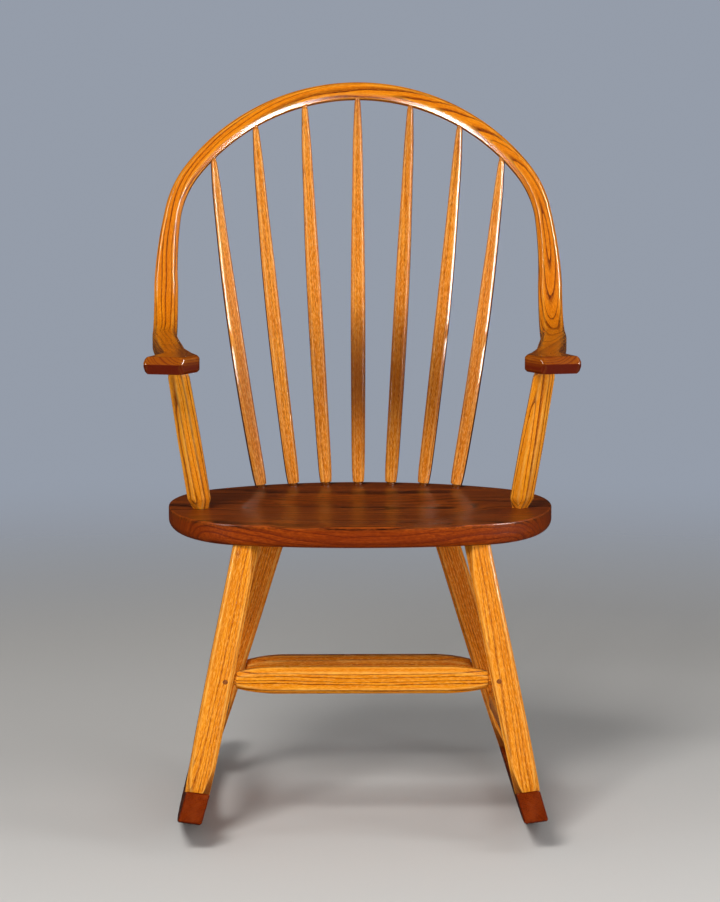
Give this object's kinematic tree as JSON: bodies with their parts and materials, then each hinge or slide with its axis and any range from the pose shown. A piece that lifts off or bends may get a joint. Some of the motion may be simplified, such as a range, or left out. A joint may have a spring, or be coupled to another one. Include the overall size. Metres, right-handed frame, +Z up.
{
  "type": "hoop back rocking chair",
  "caption": "Wooden rocking chair with one bent hoop and arm piece, fanned back spindles, saddled seat and bent runners.",
  "frame": {"origin": "on the floor, below the middle of the rockers' length and width", "axes": "+Z up, the chair faces -Y, +X is the sitter's left"},
  "size_m": [0.6408, 0.7017, 1.0987],
  "materials": {
    "honey_oak": "honey stained oak under clear gloss lacquer",
    "dark_seat": "dark walnut stained oak under clear gloss lacquer",
    "dark_rocker": "red brown stained oak under clear lacquer",
    "peg_wood": "lacquered hardwood pegs"
  },
  "bodies": {
    "root": {"hoop_arm": "honey_oak", "arm_post_left": "honey_oak", "arm_post_right": "honey_oak", "leg_front_left": "honey_oak", "leg_front_right": "honey_oak", "leg_rear_left": "honey_oak", "leg_rear_right": "honey_oak", "front_stretcher": "honey_oak", "rear_stretcher": "honey_oak", "side_stretcher_left": "honey_oak", "side_stretcher_right": "honey_oak", "spindle_1": "honey_oak", "spindle_2": "honey_oak", "spindle_3": "honey_oak", "spindle_4": "honey_oak", "spindle_5": "honey_oak", "spindle_6": "honey_oak", "spindle_7": "honey_oak", "seat_board_front": "dark_seat", "seat_board_middle": "dark_seat", "seat_board_rear": "dark_seat", "rocker_left": "dark_rocker", "rocker_right": "dark_rocker", "stretcher_pegs": "peg_wood", "rocker_dowels": "peg_wood"}
  },
  "joints": []
}
